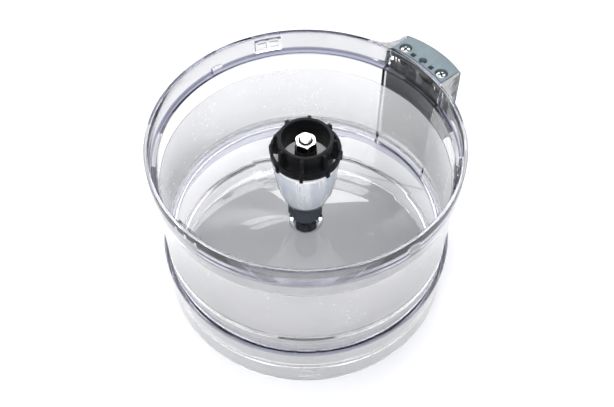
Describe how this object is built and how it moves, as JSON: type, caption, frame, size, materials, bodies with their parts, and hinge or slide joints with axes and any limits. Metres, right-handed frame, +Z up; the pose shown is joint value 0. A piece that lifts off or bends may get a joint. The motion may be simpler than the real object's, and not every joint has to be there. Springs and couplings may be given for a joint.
{
  "type": "food processor work bowl",
  "caption": "Clear cylindrical work bowl of a food processor, with a side handle that holds a lid interlock rod and a built-in drive spindle under a finned collar.",
  "frame": {"origin": "centre of the bounding box at the bottom of the skirt; the bowl's own axis is 10.1 mm towards -X", "axes": "+Z up out of the bowl's mouth, +X from the bowl's axis towards the handle"},
  "size_m": [0.2342, 0.214, 0.145],
  "materials": {
    "clear_plastic": "clear moulded polycarbonate, polished, slightly lavender at its edges",
    "milky_plastic": "milky translucent moulded plastic",
    "slate_plastic": "satin slate grey moulded plastic",
    "dark_slate_plastic": "satin dark slate moulded plastic",
    "black_plastic": "satin black glass-filled nylon",
    "dark_grey_plastic": "satin dark grey acetal",
    "light_grey_plastic": "satin light grey acetal",
    "steel": "stainless steel, fine turned finish",
    "bright_nut": "bright plated steel",
    "bronze": "sintered bronze, oiled",
    "rubber": "black nitrile rubber"
  },
  "bodies": {
    "bowl": {"bowl_body": "clear_plastic", "centre_post": "milky_plastic", "handle_cap": "slate_plastic", "handle_grip": "slate_plastic", "handle_foot": "slate_plastic", "handle_back": "dark_slate_plastic", "handle_screw_left": "steel", "handle_screw_right": "steel", "interlock_spring": "steel", "finned_collar": "black_plastic", "upper_bush": "bronze", "lower_bush": "bronze", "thrust_washer": "bronze", "lip_seal": "rubber", "post_gasket": "rubber", "bearing_carrier": "dark_grey_plastic"},
    "spindle": {"drive_shaft": "steel", "drive_hub": "black_plastic", "nut_washer": "steel", "shaft_nut": "bright_nut", "drive_coupling": "dark_grey_plastic", "coupling_pin": "steel", "retaining_ring": "steel"},
    "interlock": {"interlock_rod": "light_grey_plastic", "rod_clip": "steel"}
  },
  "joints": [
    {"name": "spindle_spin", "type": "hinge", "parent": "bowl", "child": "spindle", "pos_m": [-0.0101, 0, 0.0833], "axis": [0, 0, 1], "continuous": true},
    {"name": "interlock_press", "type": "slide", "parent": "bowl", "child": "interlock", "axis": [0, 0, -1], "range_m": [0, 0.005], "stiffness_N_per_m": 400, "springref_m": -0.004, "deforming": ["interlock_spring"]}
  ]
}
